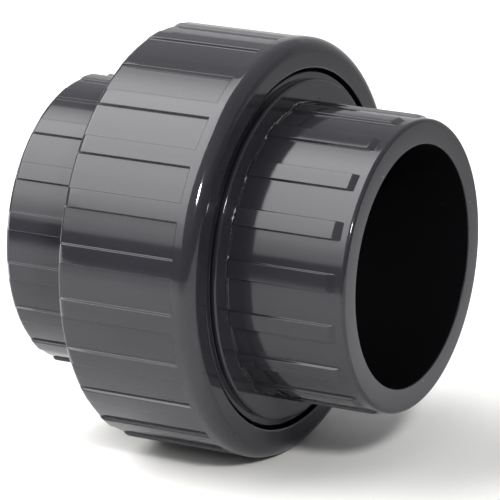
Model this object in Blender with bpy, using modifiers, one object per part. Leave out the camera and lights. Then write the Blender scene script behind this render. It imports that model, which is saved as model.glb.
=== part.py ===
"""Solvent-weld pipe union for 63 mm rigid plastic pipe.

Four separate pieces on one axis, drawn assembled and hand tight:
  threaded_end_connector  socket barrel with the male thread and the seal groove
  o_ring_seal             seal lying in the groove of the threaded end
  tail_end_connector      socket barrel with a collar and a flange held by the nut
  union_nut               ribbed nut with the female thread, captive on the tail

The union axis is world X. The tail end points to +X, the threaded end to -X.
The nut lies on two of its ribs, so -Z is down. The origin is mid-length on the axis.
All sizes are in millimetres; R is a radius and X a place along the axis.
"""

import math

import bmesh
import bpy

MM = 0.001

# ---- both sockets and barrels ----------------------------------------------
HALF_LENGTH = 49.8                 # mouth face of each socket from the origin
SOCKET_DEPTH = 38.0
PIPE_STOP_X = HALF_LENGTH - SOCKET_DEPTH
PIPE_R = 63.0 / 2
BORE_MOUTH_R = PIPE_R + 0.1        # the bore narrows from its mouth to the pipe stop
BORE_ROOT_R = PIPE_R - 0.05
BORE_EDGE = 0.35                   # broken edge at the mouth
PASSAGE_R = 28.0                   # flow passage between the pipe stops
BARREL_R = 38.2
TAIL_RIM_ROUND = 1.0
THREAD_RIM_ROUND = 1.4

# ---- shared by mating pieces -----------------------------------------------
AXIAL_GAP = 0.3                    # drum to seal face, and flange to nut lip
CHAMFER = 0.6                      # on the flange, the drum and the nut mouth
NUT_FRONT_X = 15.8
NUT_BACK_X = -23.8

# ---- ribs on the barrels ---------------------------------------------------
BARREL_RIBS = 18
RIB_TOP_R = BARREL_R + 0.7
RIB_FOOT_R = BARREL_R - 0.9
RIB_SUNK_R = BARREL_R - 0.3        # top of the rib at the end of its slope
RIB_HALF_DEG = 3.55
RIB_DRAFT_DEG = 0.15               # taken off each side at the top
RIB_BURY = 0.5                     # how far a rib runs into the body at its inner end
TAIL_RIB_SLOPE = (45.5, 47.9)      # X where the top starts to drop, X where it is sunk
THREAD_RIB_SLOPE = (-47.0, -48.8)
TAIL_RIB_PHASE_DEG = 3.2           # first rib from straight up, towards -Y
THREAD_RIB_PHASE_DEG = 17.7

# ---- tail end --------------------------------------------------------------
COLLAR_FACE_X = NUT_FRONT_X + 1.0  # raised disc, proud of the nut's front
COLLAR_R = 44.6
COLLAR_EDGE = 0.5
LEDGE_X = NUT_FRONT_X - 0.8        # step round the disc, below the nut's front
LEDGE_R = 46.4
LEDGE_EDGE = 0.3
FLANGE_BACK_X = 9.6
FLANGE_R = 48.6
SEAL_FACE_X = 4.0

# ---- threaded end ----------------------------------------------------------
DRUM_FACE_X = SEAL_FACE_X - AXIAL_GAP
DRUM_BACK_X = -21.5
MALE_ROOT_R = 48.6                 # outside of the drum
SKIRT_INNER_R = 43.6               # the drum is cored out from its back
CORE_END_X = -3.0

# ---- seal and its groove ---------------------------------------------------
SEAL_MEAN_R = 36.0
SEAL_CORD_R = 2.0
GROOVE_HALF_WIDTH = 2.4
GROOVE_INNER_R = SEAL_MEAN_R - GROOVE_HALF_WIDTH
GROOVE_OUTER_R = SEAL_MEAN_R + GROOVE_HALF_WIDTH
GROOVE_FLOOR_X = -0.2
SEAL_X = (GROOVE_FLOOR_X + SEAL_FACE_X) / 2

# ---- threads ---------------------------------------------------------------
PITCH = 4.0
THREAD_HEIGHT = 1.5                # root to crest
CREST_HALF = 0.5                   # half the width of the flat crest
FLANK_DEG = 30.0
THREAD_BURY = 0.5                  # base of the ridge, behind the root surface
THREAD_SINK = 0.35                 # crest at a fully faded end, behind the root surface
RUN_OUT_STEPS = 6                  # ridge height fades over this many steps
MALE_START_X = -18.6
MALE_TURNS = 5.0
FEMALE_START_X = MALE_START_X - PITCH / 2
FEMALE_TURNS = 5.5

# ---- nut -------------------------------------------------------------------
NUT_R = 55.3
NUT_ROUND = 3.9                    # outer corners, front and back
NUT_OPENING_R = 47.3
NUT_OPENING_EDGE = 0.3
NUT_LIP_INNER_X = FLANGE_BACK_X + AXIAL_GAP
FEMALE_ROOT_R = 50.5
NUT_RIBS = 24                      # left standing between as many recesses
RECESS_FLOOR_R = NUT_R - 0.8
RECESS_HALF_DEG = 4.9
RECESS_END_X = 9.83
CUTTER_OVERSHOOT = 3.0             # cutters stand this far out of the nut

# ---- facets ----------------------------------------------------------------
TURN_STEPS = 48
TAIL_TURN_STEPS = 3 * BARREL_RIBS
SEAL_TURN_STEPS = 40
SEAL_CORD_SIDES = 10
RIM_SEGMENTS = 3
NUT_FRONT_SEGMENTS = 4
NUT_BACK_SEGMENTS = 3

PLASTIC_IOR = 1.54


# ---- scene and materials ---------------------------------------------------
def clear_scene():
    for obj in list(bpy.data.objects):
        bpy.data.objects.remove(obj, do_unlink=True)


def add_collection(name):
    coll = bpy.data.collections.new(name)
    bpy.context.scene.collection.children.link(coll)
    return coll


def pbr(name, colour, roughness):
    mat = bpy.data.materials.new(name)
    mat.use_nodes = True
    bsdf = mat.node_tree.nodes["Principled BSDF"]
    bsdf.inputs["Base Color"].default_value = (*colour, 1.0)
    bsdf.inputs["Roughness"].default_value = roughness
    bsdf.inputs["IOR"].default_value = PLASTIC_IOR
    return mat


# ---- shaping ---------------------------------------------------------------
def add_object(name, bm, coll, roll_deg):
    """Object on the union axis: local Z is world X, and at no roll local +X is down."""
    mesh = bpy.data.meshes.new(name)
    bm.to_mesh(mesh)
    bm.free()
    obj = bpy.data.objects.new(name, mesh)
    coll.objects.link(obj)
    obj.rotation_mode = "ZYX"
    obj.rotation_euler = (0.0, math.pi / 2.0, math.radians(roll_deg))
    return obj


def arc(centre_r, centre_x, radius, start_deg, end_deg, count):
    """Points (r, x); 0 degrees points along +x, 90 degrees points outward."""
    points = []
    for i in range(count + 1):
        angle = math.radians(start_deg + (end_deg - start_deg) * i / count)
        r = centre_r + radius * math.sin(angle)
        points.append((r, centre_x + radius * math.cos(angle)))
    return points


def turned(name, profile, steps, mat, coll, roll_deg=0.0):
    """Turns a closed (r, x) profile about the union axis."""
    bm = bmesh.new()
    verts = [bm.verts.new((r * MM, 0.0, x * MM)) for r, x in profile]
    for i, vert in enumerate(verts):
        bm.edges.new((vert, verts[(i + 1) % len(verts)]))
    obj = add_object(name, bm, coll, roll_deg)
    obj.data.materials.append(mat)
    mod = obj.modifiers.new("turn", "SCREW")
    mod.axis = "Z"
    mod.angle = 2.0 * math.pi
    mod.steps = steps
    mod.render_steps = steps
    mod.use_merge_vertices = True
    mod.merge_threshold = 0.00001
    mod.use_smooth_shade = True
    return obj


def lofts(name, runs, coll, roll_deg=0.0):
    """One hidden tool object holding a closed loft for each list of sections."""
    bm = bmesh.new()
    for sections in runs:
        rings = [[bm.verts.new(point) for point in section] for section in sections]
        count = len(rings[0])
        for ring, following in zip(rings, rings[1:]):
            for i in range(count):
                j = (i + 1) % count
                bm.faces.new((ring[i], ring[j], following[j], following[i]))
        bm.faces.new(rings[0])
        bm.faces.new(list(reversed(rings[-1])))
    bmesh.ops.recalc_face_normals(bm, faces=bm.faces)
    obj = add_object(name, bm, coll, roll_deg)
    obj.hide_render = True
    obj.display_type = "WIRE"
    return obj


def boolean(target, tool, operation):
    mod = target.modifiers.new(tool.name, "BOOLEAN")
    mod.object = tool
    mod.operation = operation
    mod.solver = "EXACT"


def polar(r, deg, x):
    """Local point in metres."""
    angle = math.radians(deg)
    return (r * math.cos(angle) * MM, r * math.sin(angle) * MM, x * MM)


def bar_section(foot_r, top_r, centre_deg, half_deg, x, draft_deg=0.0):
    """Section of a bar lying along the axis; the draft narrows its top."""
    top_half = half_deg - draft_deg
    return [
        polar(foot_r, centre_deg - half_deg, x),
        polar(top_r, centre_deg - top_half, x),
        polar(top_r, centre_deg, x),
        polar(top_r, centre_deg + top_half, x),
        polar(foot_r, centre_deg + half_deg, x),
        polar(foot_r, centre_deg, x),
    ]


def barrel_rib_runs(phase_deg, inner_x, slope):
    """Ribs of one barrel, from their inner end to where they sink below the surface."""
    stations = [(inner_x, RIB_TOP_R), (slope[0], RIB_TOP_R), (slope[1], RIB_SUNK_R)]
    runs = []
    for k in range(BARREL_RIBS):
        centre = phase_deg + 180.0 + k * 360.0 / BARREL_RIBS
        runs.append([
            bar_section(RIB_FOOT_R, top_r, centre, RIB_HALF_DEG, x, RIB_DRAFT_DEG)
            for x, top_r in stations
        ])
    return runs


def thread_run(start_x, turns, root_r, outward):
    """Right-hand helical ridge, faded at both ends.

    outward is +1 for a ridge standing out from root_r and -1 for one standing in.
    """
    crest_r = root_r + outward * THREAD_HEIGHT
    sunk_r = root_r - outward * THREAD_SINK
    base_r = root_r - outward * THREAD_BURY
    base_half = CREST_HALF + abs(base_r - crest_r) * math.tan(math.radians(FLANK_DEG))
    total = int(round(turns * TURN_STEPS))
    sections = []
    for i in range(total + 1):
        deg = 360.0 * i / TURN_STEPS
        x = start_x + PITCH * i / TURN_STEPS
        fade = min(1.0, i / RUN_OUT_STEPS, (total - i) / RUN_OUT_STEPS)
        top_r = sunk_r + (crest_r - sunk_r) * fade
        sections.append([
            polar(base_r, deg, x - base_half),
            polar(top_r, deg, x - CREST_HALF),
            polar(top_r, deg, x + CREST_HALF),
            polar(base_r, deg, x + base_half),
        ])
    return sections


# ---- pieces ----------------------------------------------------------------
def build_tail(coll, tools, mat):
    """Barrel, collar that shows in the nut opening, flange under the nut's lip."""
    profile = arc(
        BARREL_R - TAIL_RIM_ROUND, HALF_LENGTH - TAIL_RIM_ROUND,
        TAIL_RIM_ROUND, 0, 90, RIM_SEGMENTS,
    ) + [
        (BARREL_R, COLLAR_FACE_X),
        (COLLAR_R - COLLAR_EDGE, COLLAR_FACE_X),
        (COLLAR_R, COLLAR_FACE_X - COLLAR_EDGE),
        (COLLAR_R, LEDGE_X),
        (LEDGE_R - LEDGE_EDGE, LEDGE_X),
        (LEDGE_R, LEDGE_X - LEDGE_EDGE),
        (LEDGE_R, FLANGE_BACK_X),
        (FLANGE_R, FLANGE_BACK_X),
        (FLANGE_R, SEAL_FACE_X + CHAMFER),
        (FLANGE_R - CHAMFER, SEAL_FACE_X),
        (PASSAGE_R, SEAL_FACE_X),
        (PASSAGE_R, PIPE_STOP_X),
        (BORE_ROOT_R, PIPE_STOP_X),
        (BORE_MOUTH_R, HALF_LENGTH - BORE_EDGE),
        (BORE_MOUTH_R + BORE_EDGE, HALF_LENGTH),
    ]
    # The whole piece is rolled, so its facets stay in step with its ribs.
    roll = TAIL_RIB_PHASE_DEG
    tail = turned("tail_end_connector", profile, TAIL_TURN_STEPS, mat, coll, roll)
    rib_runs = barrel_rib_runs(0.0, COLLAR_FACE_X - RIB_BURY, TAIL_RIB_SLOPE)
    boolean(tail, lofts("tail_rib_bars", rib_runs, tools, roll), "UNION")


def build_threaded_end(coll, tools, mat):
    """Drum with the seal groove and male thread, cored skirt, barrel."""
    profile = [
        (MALE_ROOT_R - CHAMFER, DRUM_FACE_X),
        (MALE_ROOT_R, DRUM_FACE_X - CHAMFER),
        (MALE_ROOT_R, DRUM_BACK_X),
        (SKIRT_INNER_R, DRUM_BACK_X),
        (SKIRT_INNER_R, CORE_END_X),
        (BARREL_R, CORE_END_X),
    ] + arc(
        BARREL_R - THREAD_RIM_ROUND, -HALF_LENGTH + THREAD_RIM_ROUND,
        THREAD_RIM_ROUND, 90, 180, RIM_SEGMENTS,
    ) + [
        (BORE_MOUTH_R + BORE_EDGE, -HALF_LENGTH),
        (BORE_MOUTH_R, -HALF_LENGTH + BORE_EDGE),
        (BORE_ROOT_R, -PIPE_STOP_X),
        (PASSAGE_R, -PIPE_STOP_X),
        (PASSAGE_R, DRUM_FACE_X),
        (GROOVE_INNER_R, DRUM_FACE_X),
        (GROOVE_INNER_R, GROOVE_FLOOR_X),
        (GROOVE_OUTER_R, GROOVE_FLOOR_X),
        (GROOVE_OUTER_R, DRUM_FACE_X),
    ]
    threaded = turned("threaded_end_connector", profile, TURN_STEPS, mat, coll)
    rib_runs = barrel_rib_runs(THREAD_RIB_PHASE_DEG, CORE_END_X + RIB_BURY, THREAD_RIB_SLOPE)
    boolean(threaded, lofts("thread_end_rib_bars", rib_runs, tools), "UNION")
    ridge = thread_run(MALE_START_X, MALE_TURNS, MALE_ROOT_R, outward=1)
    boolean(threaded, lofts("male_thread_ridge", [ridge], tools), "UNION")


def build_seal(coll, mat):
    """Round cord ring; the closing point of the arc repeats the first and is left off."""
    profile = arc(SEAL_MEAN_R, SEAL_X, SEAL_CORD_R, 0, 360, SEAL_CORD_SIDES)[:-1]
    turned("o_ring_seal", profile, SEAL_TURN_STEPS, mat, coll)


def build_nut(coll, tools, mat):
    """Lip, cavity for the flange, female thread, ribbed outside."""
    corner_r = NUT_R - NUT_ROUND
    profile = (
        arc(corner_r, NUT_FRONT_X - NUT_ROUND, NUT_ROUND, 0, 90, NUT_FRONT_SEGMENTS)
        + arc(corner_r, NUT_BACK_X + NUT_ROUND, NUT_ROUND, 90, 180, NUT_BACK_SEGMENTS)
        + [
            (FEMALE_ROOT_R + CHAMFER, NUT_BACK_X),
            (FEMALE_ROOT_R, NUT_BACK_X + CHAMFER),
            (FEMALE_ROOT_R, NUT_LIP_INNER_X),
            (NUT_OPENING_R, NUT_LIP_INNER_X),
            (NUT_OPENING_R, NUT_FRONT_X - NUT_OPENING_EDGE),
            (NUT_OPENING_R + NUT_OPENING_EDGE, NUT_FRONT_X),
        ]
    )
    nut = turned("union_nut", profile, TURN_STEPS, mat, coll)
    # Recesses run in from the back; one faces straight down, between two ribs.
    cutter_r = NUT_R + CUTTER_OVERSHOOT
    recess_runs = [
        [
            bar_section(cutter_r, RECESS_FLOOR_R, k * 360.0 / NUT_RIBS, RECESS_HALF_DEG, x)
            for x in (NUT_BACK_X - CUTTER_OVERSHOOT, RECESS_END_X)
        ]
        for k in range(NUT_RIBS)
    ]
    boolean(nut, lofts("nut_recess_cutters", recess_runs, tools), "DIFFERENCE")
    ridge = thread_run(FEMALE_START_X, FEMALE_TURNS, FEMALE_ROOT_R, outward=-1)
    boolean(nut, lofts("female_thread_ridge", [ridge], tools), "UNION")


def main():
    clear_scene()
    union = add_collection("pipe_union")
    tools = add_collection("shaping_tools")
    tools.hide_render = True

    end_grey = (0.075, 0.078, 0.083)
    pvc_threaded = pbr("pvc_threaded_end", colour=end_grey, roughness=0.30)
    pvc_tail = pbr("pvc_tail_end", colour=end_grey, roughness=0.30)
    pvc_nut = pbr("pvc_nut", colour=(0.070, 0.073, 0.078), roughness=0.28)
    epdm = pbr("epdm_seal", colour=(0.012, 0.012, 0.013), roughness=0.55)

    build_tail(union, tools, pvc_tail)
    build_threaded_end(union, tools, pvc_threaded)
    build_seal(union, epdm)
    build_nut(union, tools, pvc_nut)


main()
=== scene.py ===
"""Looks of the pipe union: moulded plastic and rubber pieces in a studio set.

The union axis is world X. The tail end opens towards +X and the threaded end towards -X.
Every piece is a closed skin: a (radius, x) outline swept about the axis, with ribs,
recesses and threads as radial relief. Shape code is in millimetres on the CAD axis, and its
angles are degrees from straight up towards -Y. The set and the camera are in metres.
"""

import math

import bpy
import numpy as np
from mathutils import Matrix, Vector


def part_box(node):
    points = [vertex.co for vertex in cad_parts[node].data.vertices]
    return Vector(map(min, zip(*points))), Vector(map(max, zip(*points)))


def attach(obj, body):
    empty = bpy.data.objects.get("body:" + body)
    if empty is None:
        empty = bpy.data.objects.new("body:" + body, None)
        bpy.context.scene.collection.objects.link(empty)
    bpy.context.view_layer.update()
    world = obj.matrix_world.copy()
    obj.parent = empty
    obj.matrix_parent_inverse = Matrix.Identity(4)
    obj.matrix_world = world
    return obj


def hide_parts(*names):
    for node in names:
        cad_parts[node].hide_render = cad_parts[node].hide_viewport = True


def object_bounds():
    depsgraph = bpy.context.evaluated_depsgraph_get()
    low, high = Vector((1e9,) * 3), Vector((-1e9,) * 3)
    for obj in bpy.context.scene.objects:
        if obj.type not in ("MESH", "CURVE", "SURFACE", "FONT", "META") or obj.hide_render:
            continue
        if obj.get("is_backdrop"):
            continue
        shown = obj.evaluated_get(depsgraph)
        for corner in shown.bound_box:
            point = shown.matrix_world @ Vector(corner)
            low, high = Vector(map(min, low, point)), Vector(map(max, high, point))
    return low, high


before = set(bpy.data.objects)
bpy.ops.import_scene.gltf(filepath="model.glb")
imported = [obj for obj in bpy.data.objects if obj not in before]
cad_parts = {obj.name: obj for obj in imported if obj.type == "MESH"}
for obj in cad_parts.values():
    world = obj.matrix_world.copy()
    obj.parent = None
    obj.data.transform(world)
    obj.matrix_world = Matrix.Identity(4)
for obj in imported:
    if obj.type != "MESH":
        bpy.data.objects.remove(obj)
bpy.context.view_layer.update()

MM = 0.001


def mm_box(node):
    low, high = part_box(node)
    return np.array(low) / MM, np.array(high) / MM


TAIL_LOW, TAIL_HIGH = mm_box("tail_end_connector")
THREAD_LOW, THREAD_HIGH = mm_box("threaded_end_connector")
NUT_LOW, NUT_HIGH = mm_box("union_nut")
SEAL_LOW, SEAL_HIGH = mm_box("o_ring_seal")

# ---- main sizes: _R is a radius, _X a place along the axis -----------------------
TAIL_MOUTH_X, SEAL_FACE_X = TAIL_HIGH[0], TAIL_LOW[0]
DRUM_FACE_X, THREAD_MOUTH_X = THREAD_HIGH[0], THREAD_LOW[0]
NUT_FRONT_X, NUT_BACK_X = NUT_HIGH[0], NUT_LOW[0]
NUT_R = NUT_HIGH[2]

SOCKET_DEPTH = 38.0
BORE_MOUTH_R, BORE_ROOT_R, PASSAGE_R = 31.6, 31.45, 28.0
MOUTH_CHAMFER = 0.35
BARREL_R = 38.2
SEAL_RING_R = 36.0  # middle of the cord, and of the groove that holds it

BARREL_RIBS, RIB_HEIGHT = 18, 0.70
RIB_HALF = 3.55  # degrees
BARREL_STATIONS = [18.5, 24.0, 31.0, 38.0, 43.0]  # distance from x = 0, on both ends

THREAD_PITCH, RIDGE_HEIGHT, CREST_HALF = 4.0, 1.5, 0.5
FLANK_SLOPE = 1.732  # 30 degree flanks
RIDGE_FADE = 45.0  # degrees of run-out at each end of a ridge
CREST_SOFT, ROOT_SOFT = 0.18, 0.14
RIDGE_STEP = 0.25  # spacing of outline points under a thread


# ---- outlines --------------------------------------------------------------------
def outline(corners, arc_steps):
    """Closed outline of (radius, x, kind) points from (radius, x, fillet, kind) corners.

    kind tags the run after the corner. arc_steps is the number of steps in a quarter turn.
    """
    points = []
    for i, (radius, x, fillet, kind) in enumerate(corners):
        if fillet <= 0:
            points.append((radius, x, kind))
            continue
        corner = np.array([radius, x], float)
        before = np.array(corners[i - 1][:2], float) - corner
        after = np.array(corners[(i + 1) % len(corners)][:2], float) - corner
        before_length, after_length = np.linalg.norm(before), np.linalg.norm(after)
        before, after = before / before_length, after / after_length
        angle = math.acos(max(-1.0, min(1.0, float(before @ after))))
        reach = min(fillet / math.tan(angle / 2), before_length * 0.49, after_length * 0.49)
        bend = reach * math.tan(angle / 2)
        middle = (before + after) / np.linalg.norm(before + after)
        centre = corner + middle * (bend / math.sin(angle / 2))
        first = corner + before * reach - centre
        last = corner + after * reach - centre
        start = math.atan2(first[1], first[0])
        end = math.atan2(last[1], last[0])
        turn = (end - start + math.pi) % (2 * math.pi) - math.pi
        steps = max(2, int(math.ceil(arc_steps * abs(turn) / (math.pi / 2))))
        for k in range(steps + 1):
            t = start + turn * k / steps
            tag = kind if k >= steps / 2 else corners[i - 1][3]
            points.append((centre[0] + bend * math.cos(t), centre[1] + bend * math.sin(t), tag))
    return points


def fill_run(points, kind, stations):
    """Adds points at the given x stations on the straight run tagged kind."""
    filled = []
    for i, point in enumerate(points):
        filled.append(point)
        radius, x, tag = point
        next_radius, next_x, _ = points[(i + 1) % len(points)]
        if tag == kind and next_x != x:
            low, high = min(x, next_x), max(x, next_x)
            inside = [s for s in stations if low + 0.02 < s < high - 0.02]
            for s in sorted(inside, reverse=next_x < x):
                share = (s - x) / (next_x - x)
                filled.append((radius + (next_radius - radius) * share, s, kind))
    return filled


# ---- relief ----------------------------------------------------------------------
# Side wall of a bar: (offset out from its middle, share of the bar's height).
# Offsets are in degrees, times the softness of the piece.
WALL = [(-0.20, 1.0), (-0.12, 0.97), (-0.06, 0.78), (0.0, 0.5),
        (0.06, 0.22), (0.12, 0.03), (0.20, 0.0)]
WALL_HALF = 0.20
BARREL_SOFT, NUT_SOFT = 1.6, 1.35


def raised_columns(count, phase, half, top_steps, gap_steps, soft):
    """Angles of the columns, with fine steps at each side wall of every bar."""
    pitch = 360.0 / count
    top = half - WALL_HALF * soft
    low, high = half + WALL_HALF * soft, pitch - half - WALL_HALF * soft
    columns = []
    for k in range(count):
        centre = phase + k * pitch
        columns += [centre - top + 2 * top * i / top_steps for i in range(1, top_steps)]
        columns += [centre + half + offset * soft for offset, _ in WALL]
        columns += [centre - half - offset * soft for offset, _ in WALL]
        columns += [centre + low + (high - low) * i / gap_steps for i in range(1, gap_steps)]
    return np.array(sorted(angle % 360.0 for angle in columns))


def bar_weight(theta, count, phase, half, soft):
    """1 on the bars, 0 between them, with a narrow rounded wall."""
    pitch = 360.0 / count
    past_wall = np.abs((theta - phase + pitch / 2) % pitch - pitch / 2) - half
    return np.interp(past_wall, [offset * soft for offset, _ in WALL], [w for _, w in WALL])


def smoothstep(t):
    return t * t * (3 - 2 * t)


def soft_min(first, second, width):
    share = np.clip(0.5 + 0.5 * (second - first) / width, 0, 1)
    return second * (1 - share) + first * share - width * share * (1 - share)


def soft_max(first, second, width):
    return -soft_min(-first, -second, width)


def thread_height(theta, x, start, turns):
    """Radial height of a right-hand ridge that starts at the bottom and fades at its ends."""
    from_bottom = (theta - 180.0) % 360.0
    full_turn = turns * 360.0
    best = np.full(np.broadcast(from_bottom, x).shape, -2.0)
    for k in range(int(math.ceil(turns)) + 1):
        total = from_bottom + 360.0 * k
        centre = start + THREAD_PITCH * total / 360.0
        fade = smoothstep(np.clip(np.minimum(total, full_turn - total) / RIDGE_FADE, 0.0, 1.0))
        crest = RIDGE_HEIGHT * fade
        flank = crest - (np.abs(x - centre) - CREST_HALF) * FLANK_SLOPE
        ridge = soft_min(crest, flank, CREST_SOFT)
        best = np.maximum(best, np.where((total >= 0) & (total <= full_turn), ridge, -2.0))
    return soft_max(best, np.zeros_like(best), ROOT_SOFT)


# ---- meshes ----------------------------------------------------------------------
CURVE_GAIN = 1.6  # from bend at a point to its wear or dust share


def add_object(name, mesh, material):
    mesh.materials.append(material)
    obj = bpy.data.objects.new(name, mesh)
    bpy.context.scene.collection.objects.link(obj)
    return obj


def set_attribute(mesh, name, values):
    data = mesh.attributes.new(name, "FLOAT", "POINT").data
    data.foreach_set("value", np.asarray(values, np.float32).ravel())


def skin(name, rows, theta, relief, material, body, piece=None):
    """Closed mesh of outline rows by angle columns.

    relief(kind, radius, x, theta) returns the moved radius and x of the rows of one kind.
    """
    radius = np.repeat(np.array([row[0] for row in rows])[:, None], len(theta), 1)
    x = np.repeat(np.array([row[1] for row in rows])[:, None], len(theta), 1)
    kinds = [row[2] for row in rows]
    for kind in sorted(set(kinds)):
        pick = np.array([k == kind for k in kinds])
        radius[pick], x[pick] = relief(kind, radius[pick], x[pick], theta)
    turn = np.radians(theta)
    grid = np.stack([x, -radius * np.sin(turn), radius * np.cos(turn)], -1) * MM
    flat = grid.reshape(-1, 3)

    index = np.arange(radius.size).reshape(radius.shape)
    right = np.roll(index, -1, 1)
    quads = np.stack([index, right, np.roll(right, -1, 0), np.roll(index, -1, 0)], -1)
    quads = quads.reshape(-1, 4)
    corner = [flat[quads[:, i]] for i in range(4)]
    fans = np.cross(corner[1], corner[2]) + np.cross(corner[2], corner[3])
    # A negative volume means that the faces point inwards.
    if np.einsum("ij,ij->i", corner[0], fans).sum() < 0:
        quads = quads[:, ::-1]
        corner = corner[::-1]

    area_normal = np.cross(corner[2] - corner[0], corner[3] - corner[1])
    normal = np.zeros_like(flat)
    for i in range(4):
        np.add.at(normal, quads[:, i], area_normal)
    normal /= np.maximum(np.linalg.norm(normal, axis=1, keepdims=True), 1e-12)

    # bend is negative on outer edges and positive in hollows
    grid_normal = normal.reshape(grid.shape)
    bend = np.zeros(radius.shape)
    for shift, axis in ((1, 0), (-1, 0), (1, 1), (-1, 1)):
        step = np.roll(grid, shift, axis) - grid
        length = np.maximum(np.linalg.norm(step, axis=2), 1e-9)
        bend += np.einsum("ijk,ijk->ij", step, grid_normal) / length

    mesh = bpy.data.meshes.new(name)
    mesh.vertices.add(len(flat))
    mesh.vertices.foreach_set("co", flat.astype(np.float32).ravel())
    mesh.loops.add(quads.size)
    mesh.loops.foreach_set("vertex_index", quads.astype(np.int32).ravel())
    mesh.polygons.add(len(quads))
    mesh.polygons.foreach_set("loop_start", np.arange(0, quads.size, 4, dtype=np.int32))
    mesh.update(calc_edges=True)
    mesh.validate()
    mesh.polygons.foreach_set("use_smooth", np.ones(len(mesh.polygons), bool))
    set_attribute(mesh, "edge_wear", np.clip(-bend * CURVE_GAIN, 0, 1))
    set_attribute(mesh, "dust_fill", np.clip(bend * CURVE_GAIN, 0, 1))
    # Inner surfaces get a full "inside" share, which the plastic uses as painted shade: near
    # black, with weaker reflections.
    inner = [1.0 if kind.startswith("in_") else 0.0 for kind in kinds]
    set_attribute(mesh, "inside", np.repeat(inner, len(theta)))
    mesh.normals_split_custom_set_from_vertices(normal.astype(np.float32))

    obj = add_object(name, mesh, material)
    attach(obj, body)
    if piece:
        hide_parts(piece)
    return obj


# ---- materials -------------------------------------------------------------------
class Nodes:
    """Short calls that fill a cleared node tree."""

    def __init__(self, tree):
        self.tree = tree
        tree.nodes.clear()

    def add(self, kind, **values):
        """Settings start with _ and come first. iN is input N, and __ is a space in a name."""
        node = self.tree.nodes.new(kind)
        for key, value in values.items():
            if key.startswith("_"):
                setattr(node, key[1:], value)
                continue
            number = key[1:]
            socket = node.inputs[int(number) if number.isdigit() else key.replace("__", " ")]
            if isinstance(value, bpy.types.NodeSocket):
                self.tree.links.new(value, socket)
            else:
                socket.default_value = value
        return node

    def math(self, operation, first, second, clamp=False):
        return self.add(
            "ShaderNodeMath", _operation=operation, _use_clamp=clamp, i0=first, i1=second
        ).outputs[0]

    def times(self, value, factor, clamp=False):
        return self.math("MULTIPLY", value, factor, clamp)

    def add_shares(self, total, *shares):
        """Adds each (value, factor) product to the total."""
        for value, factor in shares:
            total = self.math("ADD", total, self.times(value, factor))
        return total

    def ramp(self, value, low, high, out_low=0.0, out_high=1.0):
        return self.add(
            "ShaderNodeMapRange", _interpolation_type="SMOOTHSTEP",
            i0=value, i1=low, i2=high, i3=out_low, i4=out_high,
        ).outputs[0]

    def mix(self, share, base, over):
        return self.add("ShaderNodeMix", _data_type="RGBA", i0=share, i6=base, i7=over).outputs[2]

    def noise(self, place, scale, detail=2.0, rough=0.5):
        return self.add(
            "ShaderNodeTexNoise", Vector=place, Scale=scale, Detail=detail, Roughness=rough
        ).outputs[0]

    def attribute(self, name):
        return self.add("ShaderNodeAttribute", _attribute_name=name).outputs["Fac"]

    def object_place(self):
        return self.add("ShaderNodeTexCoord").outputs["Object"]

    def geometry(self, name):
        return self.add("ShaderNodeNewGeometry").outputs[name]

    def camera_ray(self):
        return self.add("ShaderNodeLightPath").outputs["Is Camera Ray"]

    def split(self, vector):
        return self.add("ShaderNodeSeparateXYZ", Vector=vector).outputs

    def bump(self, strength, height):
        return self.add(
            "ShaderNodeBump", Strength=strength, Distance=0.00003, Height=height
        ).outputs[0]

    def shader(self, **values):
        return self.add("ShaderNodeBsdfPrincipled", **values).outputs[0]

    def output(self, surface):
        self.add("ShaderNodeOutputMaterial", i0=surface)

    def glow_on_front(self, strength):
        """White glow on the front of a face, near black on its back."""
        glow = self.add("ShaderNodeEmission", Color=(1.0, 1.0, 1.0, 1.0), Strength=strength)
        dark = self.add("ShaderNodeBsdfDiffuse", Color=(0.02, 0.02, 0.02, 1.0))
        both = self.add("ShaderNodeMixShader", Fac=self.geometry("Backfacing"),
                        i1=glow.outputs[0], i2=dark.outputs[0])
        self.output(both.outputs[0])


def new_material(name):
    mat = bpy.data.materials.new(name)
    mat.use_nodes = True
    return mat, Nodes(mat.node_tree)


PVC_DARK = (0.0285, 0.0283, 0.0335)
SCUFF_GREY = (0.17, 0.172, 0.18, 1.0)
DUST_GREY = (0.24, 0.24, 0.245, 1.0)
SPECK_GREY = (0.42, 0.42, 0.41, 1.0)
# near black painted shade for inner surfaces and the tail collar's corner
PAINTED_SHADE_BLACK = (0.003, 0.003, 0.0035, 1.0)
PVC_GLOSS = 0.055  # roughness of the clean, unmarked surface


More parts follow.
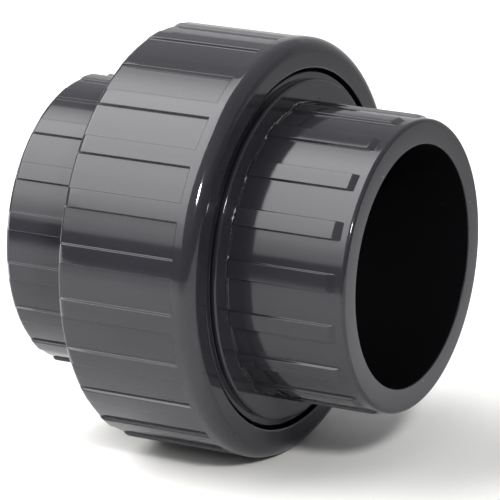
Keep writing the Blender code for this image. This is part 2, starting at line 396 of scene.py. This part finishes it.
def pvc(name, seed, specular):
    """Dark grey moulded plastic: flow streaks, orange peel, scuffed edges, dust specks, and
    painted shade on inner surfaces and in the tail collar's corner.
    """
    mat, net = new_material(name)
    place = net.add("ShaderNodeVectorMath", _operation="ADD",
                    i0=net.object_place(), i1=(seed, seed * 0.7, -seed)).outputs[0]
    # noise stretched along the union axis
    drawn = net.add("ShaderNodeMapping", Vector=place, Scale=(0.05, 1.0, 1.0)).outputs[0]

    cloud = net.noise(place, scale=38.0, detail=3.0, rough=0.55)
    flow = net.noise(drawn, scale=260.0, detail=4.0, rough=0.6)
    fine_flow = net.noise(drawn, scale=1500.0, detail=3.0, rough=0.6)
    peel = net.noise(place, scale=420.0, rough=0.45)
    grain = net.noise(place, scale=3200.0, rough=0.6)
    edge = net.attribute("edge_wear")
    hollow = net.attribute("dust_fill")
    inside = net.attribute("inside")

    # uneven tone about the base colour: (pattern, share)
    tone = net.add_shares(net.times(cloud, factor=0.30), (flow, 0.22), (grain, 0.16))
    tone = net.math("ADD", tone, second=0.66)
    base = net.add("ShaderNodeVectorMath", _operation="SCALE", i0=PVC_DARK, Scale=tone).outputs[0]

    # pale chips along outer edges
    chips = net.noise(place, scale=900.0, detail=3.0, rough=0.65)
    chips = net.ramp(chips, low=0.50, high=0.72)
    wear = net.times(net.times(edge, chips), factor=0.07, clamp=True)
    base = net.mix(wear, base, SCUFF_GREY)

    # patchy dust in hollows
    patch = net.noise(place, scale=620.0, detail=4.0, rough=0.7)
    patch = net.ramp(patch, low=0.52, high=0.80)
    dust = net.times(net.times(hollow, patch), factor=0.16, clamp=True)
    base = net.mix(dust, base, DUST_GREY)

    # a round speck in one cell out of ten
    cells = net.add("ShaderNodeTexVoronoi", Vector=place, Scale=150.0, Randomness=1.0)
    pick = net.add("ShaderNodeSeparateColor", Color=cells.outputs["Color"]).outputs[0]
    rare = net.math("GREATER_THAN", pick, second=0.90)
    dot = net.ramp(cells.outputs["Distance"], low=0.020, high=0.034, out_low=1.0, out_high=0.0)
    base = net.mix(net.times(net.times(dot, rare), factor=0.75), base, SPECK_GREY)
    # painted shade: the "inside" share turns inner surfaces and the collar's corner near black,
    # and the specular level below drops with it
    base = net.mix(net.times(inside, factor=0.92), base, PAINTED_SHADE_BLACK)

    # scratches: borders of long slanted cells, in patches
    slanted = net.add("ShaderNodeMapping", Vector=place, Rotation=(0.5, 0.3, 0.6),
                      Scale=(1.0, 0.06, 0.5)).outputs[0]
    lines = net.add("ShaderNodeTexVoronoi", _feature="DISTANCE_TO_EDGE", Vector=slanted,
                    Scale=520.0, Randomness=1.0).outputs["Distance"]
    scratch = net.times(
        net.ramp(lines, low=0.0, high=0.018, out_low=1.0, out_high=0.0),
        net.ramp(net.noise(place, scale=75.0), low=0.60, high=0.72),
    )

    # roughness and bump height: (pattern, share)
    rough = net.add_shares(PVC_GLOSS, (cloud, 0.05), (fine_flow, 0.03), (scratch, 0.05),
                           (wear, 0.35), (dust, 0.50), (inside, 0.30))
    height = net.add_shares(net.times(peel, factor=0.55), (fine_flow, 0.22), (grain, 0.06))
    height = net.math("SUBTRACT", height, net.times(scratch, factor=0.03))
    net.output(net.shader(
        Base__Color=base, Roughness=rough, IOR=1.54,
        Normal=net.bump(strength=0.13, height=height),
        Specular__IOR__Level=net.math("SUBTRACT", specular, net.times(inside, factor=0.40)),
    ))
    return mat


def rubber(name):
    mat, net = new_material(name)
    place = net.object_place()
    cloud = net.noise(place, scale=90.0, detail=3.0)
    grain = net.noise(place, scale=2400.0, detail=3.0, rough=0.7)
    base = net.mix(cloud, base=(0.007, 0.007, 0.0075, 1.0), over=(0.016, 0.016, 0.017, 1.0))
    # 0.46 rough, and up to 0.22 more with the grain
    rough = net.add_shares(0.46, (grain, 0.22))
    bump = net.bump(strength=0.5, height=grain)
    net.output(net.shader(Base__Color=base, Roughness=rough, IOR=1.5, Normal=bump))
    return mat


def burr(name):
    """Rough moulding flash, dark grey to pale."""
    mat, net = new_material(name)
    patch = net.noise(net.object_place(), scale=900.0, detail=4.0, rough=0.7)
    patch = net.ramp(patch, low=0.30, high=0.60, out_low=0.45, out_high=1.0)
    base = net.mix(net.times(patch, net.attribute("pale")),
                   base=(0.045, 0.046, 0.050, 1.0), over=(0.46, 0.45, 0.41, 1.0))
    net.output(net.shader(Base__Color=base, Roughness=0.5, IOR=1.54))
    return mat


mat_tail = pvc("pvc_tail_end_moulded", seed=0.11, specular=0.44)
mat_thread = pvc("pvc_threaded_end_moulded", seed=0.37, specular=0.44)
mat_nut = pvc("pvc_nut_moulded", seed=0.73, specular=0.50)
mat_seal = rubber("epdm_seal_rubber")
mat_burr = burr("pvc_mould_flash")


# ---- barrel ribs, shared by both ends --------------------------------------------
RUNOUT_DEPTH, RUNOUT_SOFT = 0.25, 0.10  # how far the run-out aims below the barrel


def barrel_columns(phase):
    return raised_columns(BARREL_RIBS, phase, RIB_HALF, top_steps=4, gap_steps=7,
                          soft=BARREL_SOFT)


def barrel_bars(theta, phase):
    return bar_weight(theta, BARREL_RIBS, phase, RIB_HALF, BARREL_SOFT)


def barrel_relief(phase, sign, slope):
    """Ribs of full height up to slope[0] that run out softly by slope[1]."""

    def move(kind, radius, x, theta):
        if kind == "barrel":
            run = np.clip((sign * x - slope[0]) / (slope[1] - slope[0]), 0.0, 1.0)
            top = RIB_HEIGHT - (RIB_HEIGHT + RUNOUT_DEPTH) * smoothstep(run)
            top = soft_max(top, np.zeros_like(top), RUNOUT_SOFT)
            radius = radius + top * barrel_bars(theta, phase)
        return radius, x

    return move


# ---- tail end --------------------------------------------------------------------
TAIL_RIB_PHASE, TAIL_SLOPE = 3.2, (44.8, 48.0)
COLLAR_FACE_X, LEDGE_X, FLANGE_BACK_X = NUT_FRONT_X + 1.0, NUT_FRONT_X - 0.8, 9.6
COLLAR_R, LEDGE_R, FLANGE_R = 44.6, 46.4, 48.6
TAIL_STOP_X = TAIL_MOUTH_X - SOCKET_DEPTH

tail_rows = outline(
    [
        (BARREL_R, TAIL_MOUTH_X, 1.0, "barrel"),
        (BARREL_R, COLLAR_FACE_X, 0.22, "collar"),
        (COLLAR_R, COLLAR_FACE_X, 0.55, "collar_side"),
        (COLLAR_R, LEDGE_X, 0.15, "ledge"),
        (LEDGE_R, LEDGE_X, 0.25, "ledge_side"),
        (LEDGE_R, FLANGE_BACK_X, 0.2, "flange"),
        (FLANGE_R, FLANGE_BACK_X, 0.2, "flange"),
        (FLANGE_R, SEAL_FACE_X, 0.5, "flange"),
        (PASSAGE_R, SEAL_FACE_X, 0.4, "in_bore"),
        (PASSAGE_R, TAIL_STOP_X, 0.4, "in_bore"),
        (BORE_ROOT_R, TAIL_STOP_X, 0.3, "in_bore"),
        (BORE_MOUTH_R, TAIL_MOUTH_X - MOUTH_CHAMFER, 0.0, "in_bore"),
        (BORE_MOUTH_R + MOUTH_CHAMFER, TAIL_MOUTH_X, 0.0, "face"),
    ],
    arc_steps=6,
)
tail_rows = fill_run(tail_rows, "barrel", BARREL_STATIONS + list(np.arange(44.4, 48.2, 0.2)))
tail_rows = fill_run(tail_rows, "in_bore", [14.0, 22.0, 32.0, 42.0])
tail_rows = fill_run(tail_rows, "collar_side", [LEDGE_X + 0.5, LEDGE_X + 0.9])
tail_theta = barrel_columns(TAIL_RIB_PHASE)
tail = skin(
    "tail_end_skin", tail_rows, tail_theta, barrel_relief(TAIL_RIB_PHASE, 1.0, TAIL_SLOPE),
    mat_tail, "tail", "tail_end_connector",
)


def paint_step_shade(obj, rows, theta):
    """Painted shade in the corner between the collar's disc and its ledge, on the upper and -Y
    side.
    """
    # painted shade shares by angle: strong on the collar's side wall, weaker on the ledge
    wall = np.interp(theta, [12.0, 24.0, 122.0, 150.0], [0.0, 0.95, 0.95, 0.0])
    ledge = np.interp(theta, [12.0, 24.0, 62.0, 86.0], [0.0, 0.60, 0.60, 0.0])
    share = np.zeros((len(rows), len(theta)), np.float32)
    for i, (_, x, kind) in enumerate(rows):
        if kind.startswith("in_"):
            share[i] = 1.0
        elif kind == "collar_side":
            share[i] = wall * np.interp(x, [LEDGE_X + 0.5, LEDGE_X + 1.0], [1.0, 0.0])
        elif kind == "ledge":
            share[i] = ledge
    obj.data.attributes["inside"].data.foreach_set("value", share.ravel())


paint_step_shade(tail, tail_rows, tail_theta)

# ---- threaded end ----------------------------------------------------------------
THREAD_RIB_PHASE, THREAD_SLOPE = 17.7, (48.0, 49.5)
THREAD_STOP_X = THREAD_MOUTH_X + SOCKET_DEPTH
DRUM_BACK_X, CORE_END_X = DRUM_FACE_X - 25.2, DRUM_FACE_X - 6.7
MALE_ROOT_R, SKIRT_INNER_R = 48.6, 43.6
MALE_START_X, MALE_TURNS = DRUM_FACE_X - 22.3, 5.0
GROOVE_FLOOR_X, GROOVE_HALF = DRUM_FACE_X - 3.9, 2.4
GROOVE_INNER_R, GROOVE_OUTER_R = SEAL_RING_R - GROOVE_HALF, SEAL_RING_R + GROOVE_HALF

thread_ribs = barrel_relief(THREAD_RIB_PHASE, -1.0, THREAD_SLOPE)


def threaded_relief(kind, radius, x, theta):
    if kind == "male":
        radius = radius + thread_height(theta, x, MALE_START_X, MALE_TURNS)
    return thread_ribs(kind, radius, x, theta)


thread_rows = outline(
    [
        (MALE_ROOT_R, DRUM_FACE_X, 0.6, "male"),
        (MALE_ROOT_R, DRUM_BACK_X, 0.3, "drum_back"),
        (SKIRT_INNER_R, DRUM_BACK_X, 0.3, "skirt"),
        (SKIRT_INNER_R, CORE_END_X, 0.6, "skirt"),
        (BARREL_R, CORE_END_X, 0.5, "barrel"),
        (BARREL_R, THREAD_MOUTH_X, 1.4, "face"),
        (BORE_MOUTH_R + MOUTH_CHAMFER, THREAD_MOUTH_X, 0.0, "in_bore"),
        (BORE_MOUTH_R, THREAD_MOUTH_X + MOUTH_CHAMFER, 0.0, "in_bore"),
        (BORE_ROOT_R, THREAD_STOP_X, 0.3, "in_bore"),
        (PASSAGE_R, THREAD_STOP_X, 0.4, "in_bore"),
        (PASSAGE_R, DRUM_FACE_X, 0.4, "drum_face"),
        (GROOVE_INNER_R, DRUM_FACE_X, 0.15, "groove"),
        (GROOVE_INNER_R, GROOVE_FLOOR_X, 0.15, "groove"),
        (GROOVE_OUTER_R, GROOVE_FLOOR_X, 0.15, "groove"),
        (GROOVE_OUTER_R, DRUM_FACE_X, 0.15, "drum_face"),
    ],
    arc_steps=6,
)
male_stations = list(np.arange(DRUM_BACK_X + 0.5, DRUM_FACE_X - 0.8, RIDGE_STEP))
thread_rows = fill_run(thread_rows, "male", male_stations)
thread_rows = fill_run(
    thread_rows, "barrel", [-s for s in BARREL_STATIONS] + [-12.0, -47.2, -47.8, -48.1, -48.3]
)
thread_rows = fill_run(thread_rows, "in_bore", [-42.0, -32.0, -22.0, -14.0, -4.0])
skin(
    "threaded_end_skin", thread_rows, barrel_columns(THREAD_RIB_PHASE), threaded_relief,
    mat_thread, "threaded_end", "threaded_end_connector",
)

# ---- nut -------------------------------------------------------------------------
NUT_RECESSES, RECESS_DEPTH = 24, 0.80
RECESS_HALF = 4.9  # degrees
RECESS_END_X, LIP_INNER_X = NUT_FRONT_X - 5.97, NUT_FRONT_X - 5.9
FEMALE_ROOT_R, OPENING_R = 50.5, 47.3
FEMALE_START_X, FEMALE_TURNS = NUT_BACK_X + 3.2, 5.5
BACK_ARC_R = 51.5  # beyond this radius, the back corner counts as outside

# +X end of a recess: (offset from RECESS_END_X, share of the full nut radius kept)
END_WALL = [(-0.30, 0.0), (-0.15, 0.06), (0.0, 0.5), (0.15, 0.94), (0.30, 1.0)]


def nut_relief(kind, radius, x, theta):
    if kind == "outside":
        between = 1.0 - bar_weight(theta, NUT_RECESSES, 0.0, RECESS_HALF, NUT_SOFT)
        beyond = np.interp(x - RECESS_END_X, [u for u, _ in END_WALL], [w for _, w in END_WALL])
        keep = np.maximum(between, beyond)
        cap = NUT_R - RECESS_DEPTH * (1.0 - keep)
        # the recess floor meets the rounded back corner softly
        soft = np.interp(x - NUT_BACK_X, [2.0, 5.0], [0.6, 0.05])
        radius = np.where(keep > 0.999, radius, soft_min(radius, cap, soft))
    elif kind == "in_thread":
        radius = radius - thread_height(theta, x, FEMALE_START_X, FEMALE_TURNS)
    return radius, x


nut_rows = outline(
    [
        (NUT_R, NUT_FRONT_X, 3.9, "outside"),
        (NUT_R, NUT_BACK_X, 3.9, "back"),
        (FEMALE_ROOT_R, NUT_BACK_X, 0.6, "in_thread"),
        (FEMALE_ROOT_R, LIP_INNER_X, 0.3, "in_lip"),
        (OPENING_R, LIP_INNER_X, 0.2, "in_lip"),
        (OPENING_R, NUT_FRONT_X, 0.6, "front"),
    ],
    arc_steps=10,
)
nut_rows = [
    (radius, x, "outside" if kind == "back" and radius > BACK_ARC_R and x < 0 else kind)
    for radius, x, kind in nut_rows
]
nut_rows = fill_run(
    nut_rows, "outside",
    [RECESS_END_X + u for u, _ in END_WALL] + [8.3, 3.0, -4.0, -11.0, -16.0, -18.0, -19.0],
)
female_stations = list(np.arange(NUT_BACK_X + 0.9, LIP_INNER_X - 0.4, RIDGE_STEP))
nut_rows = fill_run(nut_rows, "in_thread", female_stations)
nut_theta = raised_columns(NUT_RECESSES, 0.0, RECESS_HALF, top_steps=5, gap_steps=3,
                           soft=NUT_SOFT)
skin("union_nut_skin", nut_rows, nut_theta, nut_relief, mat_nut, "nut", "union_nut")

# ---- seal ------------------------------------------------------------------------
CORD_R = (SEAL_HIGH[0] - SEAL_LOW[0]) / 2
SEAL_X = (SEAL_HIGH[0] + SEAL_LOW[0]) / 2
LINE_HEIGHT, LINE_HALF = 0.03, 0.2

seal_rows = []
for degrees in range(0, 360, 15):
    t = math.radians(degrees)
    seal_rows.append((SEAL_RING_R + CORD_R * math.sin(t), SEAL_X + CORD_R * math.cos(t), "cord"))


def seal_relief(_kind, radius, x, _theta):
    """A fine moulding line on the inner and outer crests of the cord."""
    line = LINE_HEIGHT * np.exp(-((np.abs(x - SEAL_X) / LINE_HALF) ** 2))
    return radius + np.where(radius > SEAL_RING_R, -line, line), x


skin("seal_ring_skin", seal_rows, np.arange(0.0, 360.0, 1.5), seal_relief, mat_seal,
     "threaded_end", "o_ring_seal")

# ---- moulding flash at the root of the tail barrel -------------------------------
# Lumps: (angle, half width in degrees, height share)
FLASH_LUMPS = [(28.5, 0.9, 0.9), (48.5, 0.9, 0.9), (61.6, 1.0, 1.4), (64.4, 0.9, 1.6),
               (79.0, 0.7, 0.9)]
# Cross section: (place across in sizes, height in rises or, below 0, in mm)
FLASH_SECTION = [(-1.0, -0.06), (-0.45, 0.75), (0.05, 1.0), (0.5, 0.6), (1.0, -0.06),
                 (0.0, -0.12)]


def wander(theta, seed, waves):
    """Sum of random waves. waves holds (lowest count, count limit, size) per turn."""
    rng = np.random.default_rng(seed)
    total = np.zeros_like(theta)
    for low, high, size in waves:
        for _ in range(9):
            count = rng.integers(low, high)
            total += size * np.cos(np.radians(theta) * count + rng.uniform(0, 6.28)) / 3.0
    return total


def flash_ring():
    """A torn edge, pale near the top, lumpy by some ribs and a fine grey line elsewhere."""
    theta = np.arange(0.0, 360.0, 0.3)
    pale = np.interp(
        theta, [0.0, 24.0, 29.0, 350.0, 356.0, 360.0], [0.75, 0.75, 0.06, 0.06, 0.75, 0.75]
    )
    lumps = np.zeros_like(theta)
    for centre, half, height in FLASH_LUMPS:
        lumps = np.maximum(lumps, height * np.exp(-(((theta - centre) / half) ** 2)))
    pale = np.clip(np.maximum(pale, lumps), 0.0, 1.0)
    ring = BARREL_R + 0.75 + wander(theta, 5, [(2, 9, 0.10), (12, 50, 0.13), (60, 240, 0.13)])
    ring = np.maximum(ring, BARREL_R + 0.30)
    ring = ring + 0.5 * barrel_bars(theta, TAIL_RIB_PHASE)
    size = 0.045 + 0.045 * pale + wander(theta, 8, [(5, 30, 0.02), (50, 300, 0.045)])
    size = np.clip(size, 0.025, 0.20) + 0.20 * lumps
    rise = np.clip(size * (1.0 + wander(theta, 9, [(20, 200, 0.5)])), 0.03, 0.34)

    def move(kind, _radius, _x, _theta):
        across, height = FLASH_SECTION[int(kind[5:])]
        x = COLLAR_FACE_X + min(height, 0.0) + max(height, 0.0) * rise
        return ring + across * size, x

    rows = [(0.0, 0.0, "flash%d" % i) for i in range(len(FLASH_SECTION))]
    obj = skin("tail_root_flash", rows, theta, move, mat_burr, "tail")
    set_attribute(obj.data, "pale", np.tile(pale, len(rows)))


flash_ring()

# ---- studio set, in metres: -Y is the front, -X the left -------------------------
FLOOR_FRONT_Y, CURVE_START_Y, CURVE_R, WALL_TOP = -0.55, 0.62, 0.25, 0.52
FLOOR_LEFT_X, FLOOR_RIGHT_X = -1.1, 1.3
PAPER_SEEN = (0.94, 0.932, 0.910, 1.0)  # tone in view
PAPER_BOUNCED = (0.86, 0.86, 0.86, 1.0)  # tone in reflections


def paper(name):
    """Pale paper. Its reflected tone drops far in front and behind, as painted shade.

    It is clear to a camera that stands behind it.
    """
    mat, net = new_material(name)
    direct = net.camera_ray()
    depth = net.split(net.geometry("Position"))[1]
    # painted shade: the paper's tone in reflections drops far in front and far behind
    share = net.times(
        net.ramp(depth, low=-0.50, high=-0.20, out_low=0.15, out_high=1.0),
        net.ramp(depth, low=0.05, high=0.34, out_low=1.0, out_high=0.62),
    )
    bounce = net.mix(share, (0.0, 0.0, 0.0, 1.0), PAPER_BOUNCED)
    shader = net.shader(Base__Color=net.mix(direct, bounce, PAPER_SEEN), Roughness=0.9)
    behind = net.times(direct, net.geometry("Backfacing"))
    clear = net.add("ShaderNodeBsdfTransparent").outputs[0]
    net.output(net.add("ShaderNodeMixShader", Fac=behind, i1=shader, i2=clear).outputs[0])
    return mat


def studio_sweep():
    """Floor that curves up into a wall at the back."""
    floor_z = float(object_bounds()[0][2])
    path = [(FLOOR_FRONT_Y, floor_z), (CURVE_START_Y, floor_z)]
    for k in range(1, 13):
        t = math.radians(90.0 * k / 12)
        path.append((CURVE_START_Y + CURVE_R * math.sin(t),
                     floor_z + CURVE_R * (1 - math.cos(t))))
    path.append((CURVE_START_Y + CURVE_R, floor_z + WALL_TOP))
    verts = [(x, y, z) for y, z in path for x in (FLOOR_LEFT_X, FLOOR_RIGHT_X)]
    faces = [(2 * i, 2 * i + 1, 2 * i + 3, 2 * i + 2) for i in range(len(path) - 1)]
    material = paper("pale_paper")
    mesh = bpy.data.meshes.new("studio_sweep")
    mesh.from_pydata(verts, [], faces)
    mesh.polygons.foreach_set("use_smooth", [True] * len(faces))
    add_object("studio_sweep", mesh, material)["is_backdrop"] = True


studio_sweep()


def from_direction(direction, distance):
    return Vector(direction).normalized() * distance


def pose(back, place):
    """Matrix at place with its local Z along back and its local X level."""
    right = Vector((0.0, 0.0, 1.0)).cross(back).normalized()
    matrix = Matrix((right, back.cross(right), back)).transposed().to_4x4()
    matrix.translation = place
    return matrix


# Key: a leaning sheet of light over the left side, low at the front and high at the back.
# Its right edge bulges towards the object halfway up.
KEY_LOW = from_direction((-0.49, -0.86, 0.145), 1.15)
KEY_HIGH = from_direction((-0.49, 0.31, 0.815), 1.15)
KEY_ROWS, KEY_COLUMNS = 48, 16
# brightness at each share of the rise
KEY_RISE = [0.0, 0.14, 0.28, 0.42, 0.56, 0.72, 1.0]
KEY_LEVELS = [1.63, 2.57, 4.72, 5.70, 6.12, 6.27, 2.12]
# x of the right edge at each share of the rise
KEY_EDGE_RISE = [0.0, 0.28, 0.43, 0.56, 0.74, 1.0]
KEY_EDGE_X = [-0.26, -0.23, -0.09, -0.03, -0.17, -0.22]
# The sheet dims to KEY_FAR_LEVEL across KEY_LEFT_X, within KEY_BLEND either side.
KEY_LEFT_X, KEY_BLEND, KEY_FAR_X, KEY_FAR_LEVEL = -1.05, 0.1, -2.1, 1.06


def key_sheet():
    mat, net = new_material("key_sheet")
    net.glow_on_front(net.attribute("glow"))
    verts, rise, across = [], [], []
    for t in np.linspace(0.0, 1.0, KEY_ROWS + 1):
        middle = KEY_LOW + (KEY_HIGH - KEY_LOW) * float(t)
        edge = float(np.interp(t, KEY_EDGE_RISE, KEY_EDGE_X))
        for u in np.linspace(0.0, 1.0, KEY_COLUMNS + 1):
            x = edge + (KEY_FAR_X - edge) * float(u)
            verts.append((x, middle.y, middle.z))
            rise.append(t)
            across.append(x)
    faces = []
    for i in range(KEY_ROWS):
        for j in range(KEY_COLUMNS):
            k = i * (KEY_COLUMNS + 1) + j
            faces.append((k, k + 1, k + KEY_COLUMNS + 2, k + KEY_COLUMNS + 1))
    mesh = bpy.data.meshes.new("key_sheet")
    mesh.from_pydata(verts, [], faces)
    if mesh.polygons[0].normal.dot(-(KEY_LOW + KEY_HIGH)) < 0:
        mesh.flip_normals()
    stops = [KEY_FAR_X, KEY_LEFT_X - KEY_BLEND, KEY_LEFT_X + KEY_BLEND]
    near = np.interp(across, stops, [0.0, 0.0, 1.0])
    level = np.interp(rise, KEY_RISE, KEY_LEVELS) * near + KEY_FAR_LEVEL * (1.0 - near)
    set_attribute(mesh, "rise", rise)
    set_attribute(mesh, "across", across)
    set_attribute(mesh, "glow", level)
    obj = add_object("key_sheet", mesh, mat)
    obj.visible_camera = False
    obj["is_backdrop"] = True


key_sheet()

# Fill: a small bright panel, high at the front right
FILL_PLACE = from_direction((0.60, -0.60, 0.52), 1.2)
FILL_WIDTH, FILL_HEIGHT, FILL_STRENGTH = 0.16, 0.13, 138.7


def fill_panel():
    x, y = FILL_WIDTH / 2, FILL_HEIGHT / 2
    mat, net = new_material("fill_panel")
    up = net.split(net.object_place())[1]
    level = net.ramp(up, low=-y, high=y, out_low=FILL_STRENGTH, out_high=FILL_STRENGTH)
    net.glow_on_front(level)
    mesh = bpy.data.meshes.new("fill_panel")
    mesh.from_pydata([(-x, -y, 0), (x, -y, 0), (x, y, 0), (-x, y, 0)], [], [(0, 1, 2, 3)])
    obj = add_object("fill_panel", mesh, mat)
    obj.visible_camera = False
    obj.matrix_world = pose((-FILL_PLACE).normalized(), FILL_PLACE)
    obj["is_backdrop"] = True


fill_panel()

# Room light from high above, from high at the back and from low down
ROOM_TOP, ROOM_BACK, ROOM_LOW = 0.44, 0.59, 0.12


def studio_room():
    """Soft room light. The camera sees plain white."""
    world = bpy.data.worlds.new("studio_room")
    bpy.context.scene.world = world
    world.use_nodes = True
    net = Nodes(world.node_tree)
    seen = net.camera_ray()
    # Incoming runs back along the ray, so negative z is a ray going up.
    _, y, z = net.split(net.geometry("Incoming"))
    upper = net.ramp(y, low=-0.55, high=-0.15, out_low=ROOM_BACK, out_high=ROOM_TOP)
    level = net.ramp(z, low=-0.45, high=-0.20, out_low=upper, out_high=ROOM_LOW)
    room = net.add("ShaderNodeBackground", Color=(0.97, 0.98, 1.0, 1.0), Strength=level)
    white = net.add("ShaderNodeBackground", Color=(1.0, 1.0, 1.0, 1.0), Strength=1.0)
    pick = net.add("ShaderNodeMixShader", Fac=seen, i1=room.outputs[0], i2=white.outputs[0])
    net.add("ShaderNodeOutputWorld", i0=pick.outputs[0])


studio_room()

scene = bpy.context.scene
scene.view_settings.view_transform = "Standard"
scene.view_settings.look = "None"
scene.view_settings.exposure = 0.0
scene.view_settings.gamma = 0.885

# ---- camera ----------------------------------------------------------------------
CAMERA_BACK = Vector((0.46932985, -0.84028437, 0.27138842)).normalized()
CAMERA_PLACE = Vector((0.52928, -0.94434, 0.30290))

cam_data = bpy.data.cameras.new("camera")
cam_data.sensor_width = 36.0
cam_data.lens = 309.6
cam_data.clip_start = 0.05
cam_data.clip_end = 20.0
cam = bpy.data.objects.new("camera", cam_data)
scene.collection.objects.link(cam)
cam.matrix_world = pose(CAMERA_BACK, CAMERA_PLACE)
scene.camera = cam
